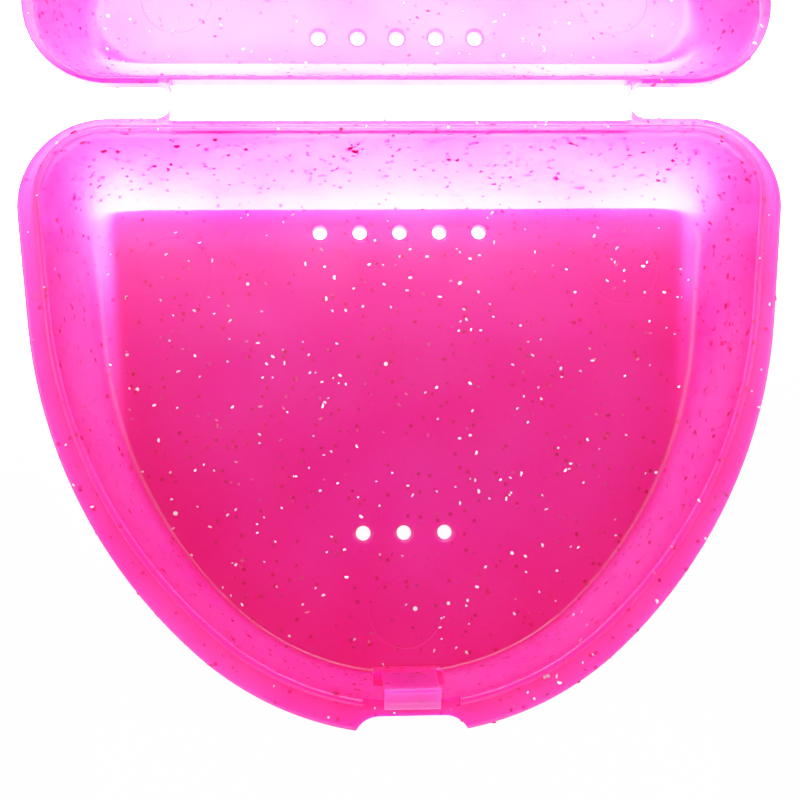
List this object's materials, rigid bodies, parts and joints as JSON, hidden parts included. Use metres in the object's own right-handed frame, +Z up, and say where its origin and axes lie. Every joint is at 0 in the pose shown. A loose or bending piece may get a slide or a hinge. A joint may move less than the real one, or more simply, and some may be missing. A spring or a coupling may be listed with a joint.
{
  "type": "mouthguard case",
  "caption": "Hinged D-shaped case for a mouthguard in translucent glitter plastic: a base and a lid joined by a folding hinge strip, with vent holes and a flexing front latch tongue.",
  "frame": {"origin": "on the flat underside of the base, on the centre line, 32 mm in front of the hinge's first fold line", "axes": "+X to the right along the hinge, +Y from the base's front towards the hinge and the open lid, +Z up out of the open base"},
  "size_m": [0.08, 0.1303, 0.0157],
  "materials": {
    "pink_plastic": "translucent hot pink polypropylene with silver glitter, glossy",
    "web_plastic": "the same plastic rolled thin at the hinge, so paler"
  },
  "bodies": {
    "base": {"base_tray": "pink_plastic"},
    "web": {"hinge_web": "web_plastic"},
    "lid": {"lid_shell": "pink_plastic"},
    "latch": {"latch_tongue": "pink_plastic"}
  },
  "joints": [
    {"name": "base_fold", "type": "hinge", "parent": "base", "child": "web", "pos_m": [0, 0.032, 0.0109], "axis": [1, 0, 0], "range_deg": [0, 90]},
    {"name": "lid_fold", "type": "hinge", "parent": "web", "child": "lid", "pos_m": [0, 0.0358, 0.0109], "axis": [1, 0, 0], "range_deg": [0, 90]},
    {"name": "latch_flex", "type": "hinge", "parent": "base", "child": "latch", "pos_m": [0, -0.02643, 0.007], "axis": [-1, 0, 0], "range_deg": [0, 8], "stiffness_Nm_per_rad": 0.3}
  ],
  "couplings": [
    {"joint": "lid_fold", "follows": "base_fold", "ratio": 1}
  ]
}
